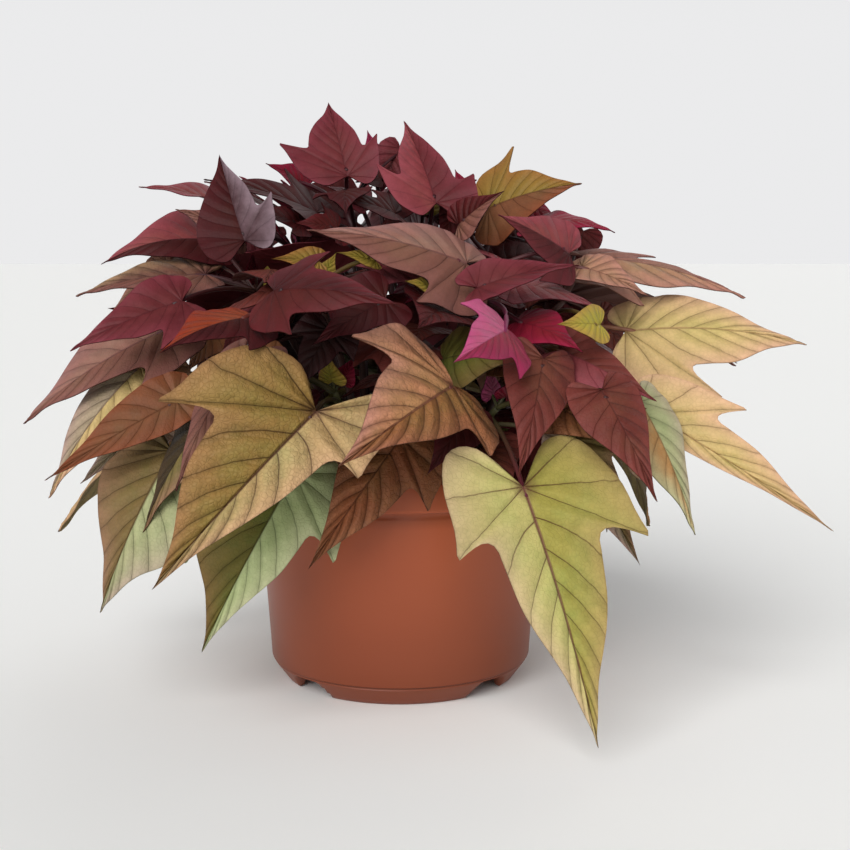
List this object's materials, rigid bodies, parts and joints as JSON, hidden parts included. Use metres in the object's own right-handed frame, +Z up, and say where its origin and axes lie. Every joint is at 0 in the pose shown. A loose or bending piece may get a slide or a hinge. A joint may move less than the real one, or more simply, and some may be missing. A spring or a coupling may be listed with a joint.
{
  "type": "potted sweet potato vine",
  "caption": "Bushy sweet potato vine with pointed lobed leaves in burgundy, copper and olive, rooted in potting mix in a round plastic nursery pot on four feet.",
  "frame": {"origin": "bottom centre of the whole plant's bounding box, on the surface that the pot stands on", "axes": "+Z up; -Y towards the side that the fullest leaves hang on; the pot's axis is 6.3 mm to -X and 12.9 mm to -Y of the origin"},
  "size_m": [0.3916, 0.3564, 0.3033],
  "materials": {
    "pot_plastic": "satin",
    "potting_mix": "matte",
    "foliage_olive": "satin",
    "foliage_copper": "satin",
    "foliage_burgundy": "satin"
  },
  "bodies": {
    "root": {"pot": "pot_plastic", "soil": "potting_mix", "vine_low_1": "foliage_olive", "vine_low_2": "foliage_olive", "vine_low_3": "foliage_olive", "vine_low_4": "foliage_olive", "vine_low_5": "foliage_olive", "vine_low_6": "foliage_olive", "vine_low_7": "foliage_olive", "vine_low_8": "foliage_olive", "vine_low_9": "foliage_olive", "vine_low_10": "foliage_olive", "vine_low_11": "foliage_olive", "vine_mid_1": "foliage_copper", "vine_mid_2": "foliage_copper", "vine_mid_3": "foliage_copper", "vine_mid_4": "foliage_copper", "vine_mid_5": "foliage_copper", "vine_mid_6": "foliage_copper", "vine_mid_7": "foliage_copper", "vine_mid_8": "foliage_copper", "vine_mid_9": "foliage_copper", "vine_mid_10": "foliage_copper", "vine_top_1": "foliage_burgundy", "vine_top_2": "foliage_burgundy", "vine_top_3": "foliage_burgundy", "vine_top_4": "foliage_burgundy", "vine_top_5": "foliage_burgundy", "vine_top_6": "foliage_burgundy", "vine_top_7": "foliage_burgundy", "vine_top_8": "foliage_burgundy"}
  },
  "joints": []
}
